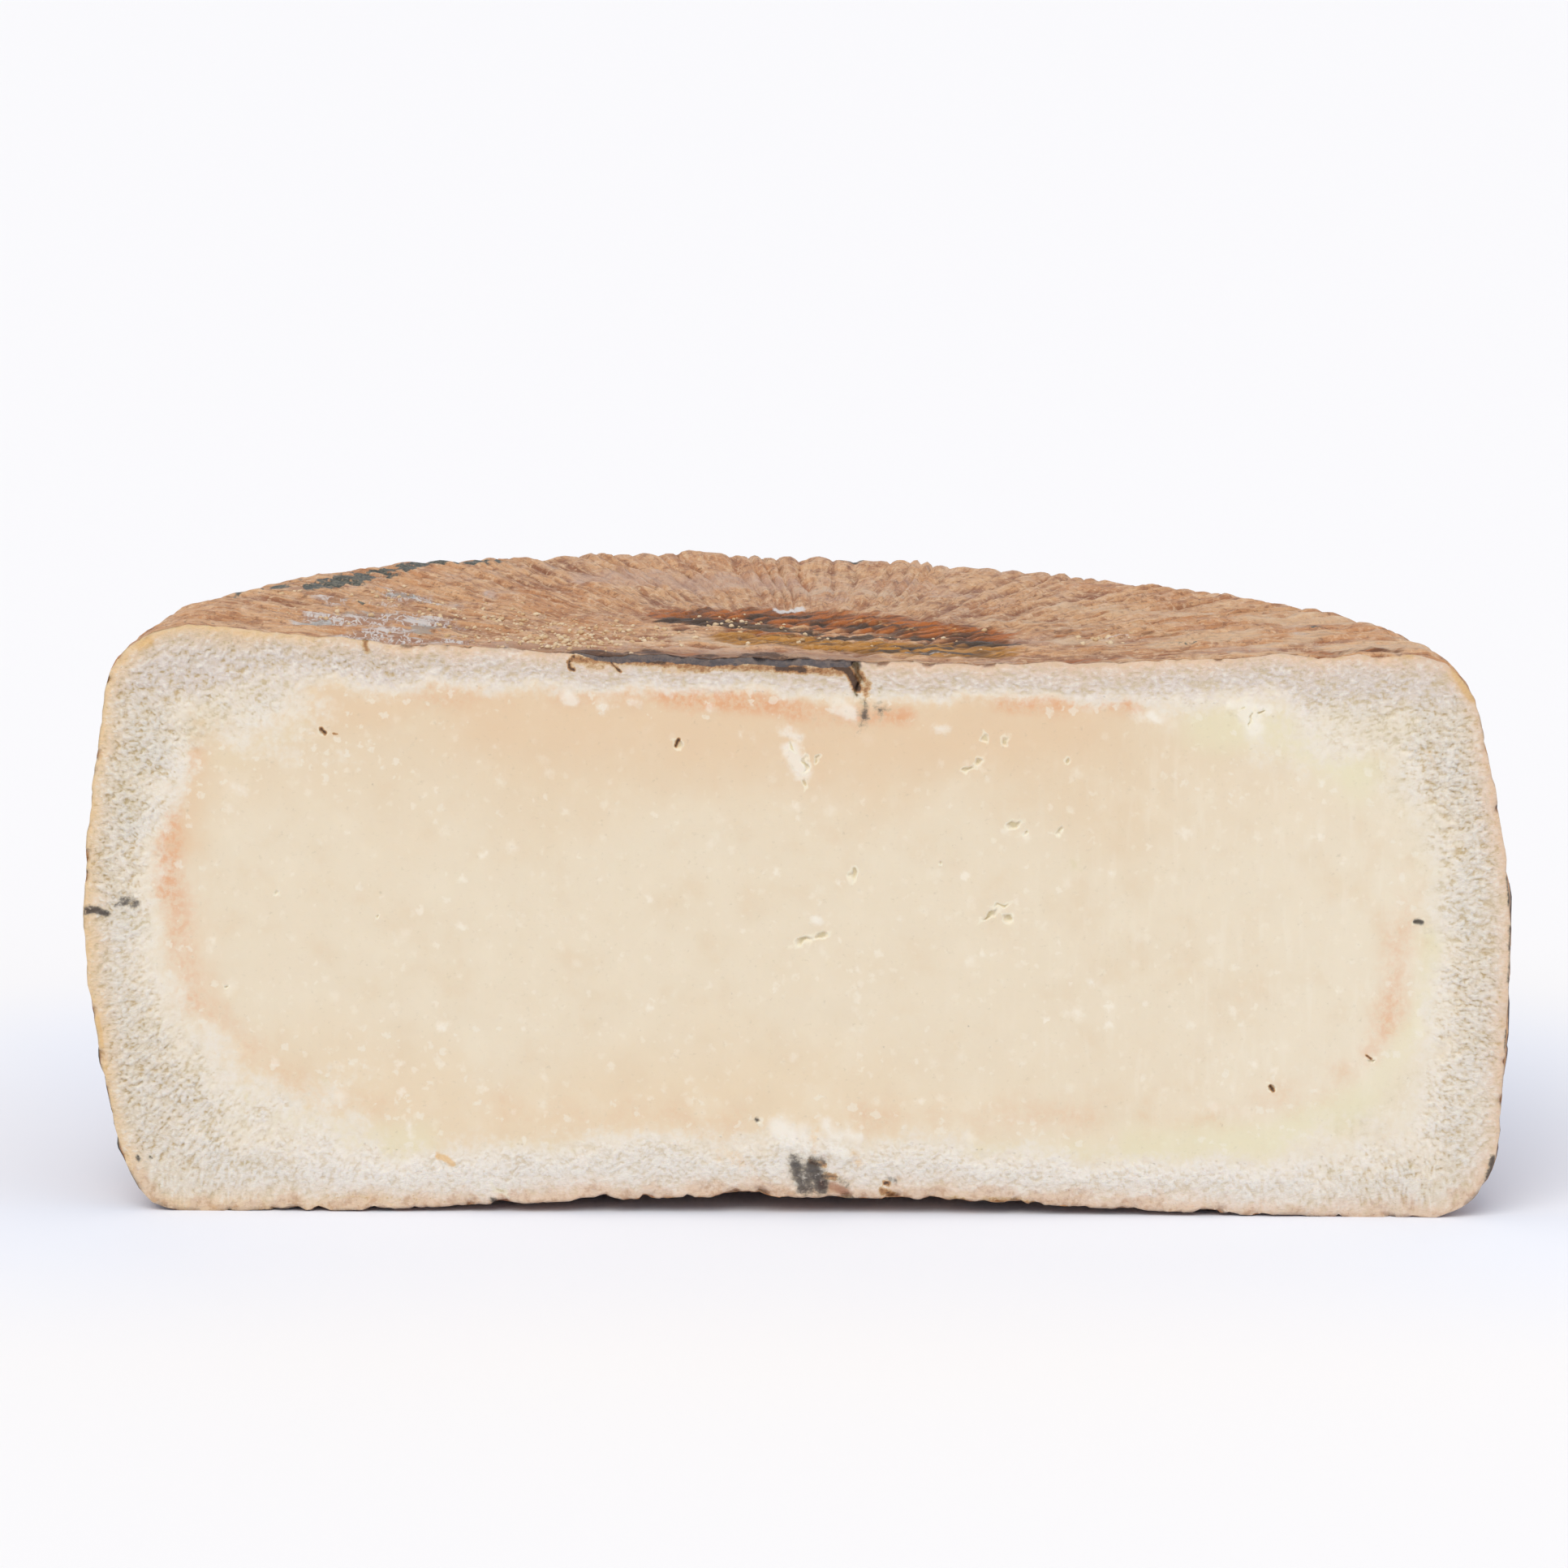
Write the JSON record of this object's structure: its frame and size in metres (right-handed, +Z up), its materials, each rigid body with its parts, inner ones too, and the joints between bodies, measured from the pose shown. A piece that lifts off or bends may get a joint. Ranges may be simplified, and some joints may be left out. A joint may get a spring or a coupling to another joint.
{
  "type": "half cheese wheel",
  "caption": "Half of a hard basket-pressed sheep's cheese wheel, cut face flat, with a ridged and woven tan rind, crumbly pale crust and spots of mould.",
  "frame": {"origin": "middle of the base of the bounding box, on the surface that the half wheel stands on", "axes": "+X along the cut face to its right end, +Y from the flat cut face towards the rounded back, +Z up"},
  "size_m": [0.301, 0.1504, 0.1275],
  "materials": {
    "cheese": "matte, crumbly cut face with a dry tan rind"
  },
  "bodies": {
    "root": {"half_wheel": "cheese"}
  },
  "joints": []
}
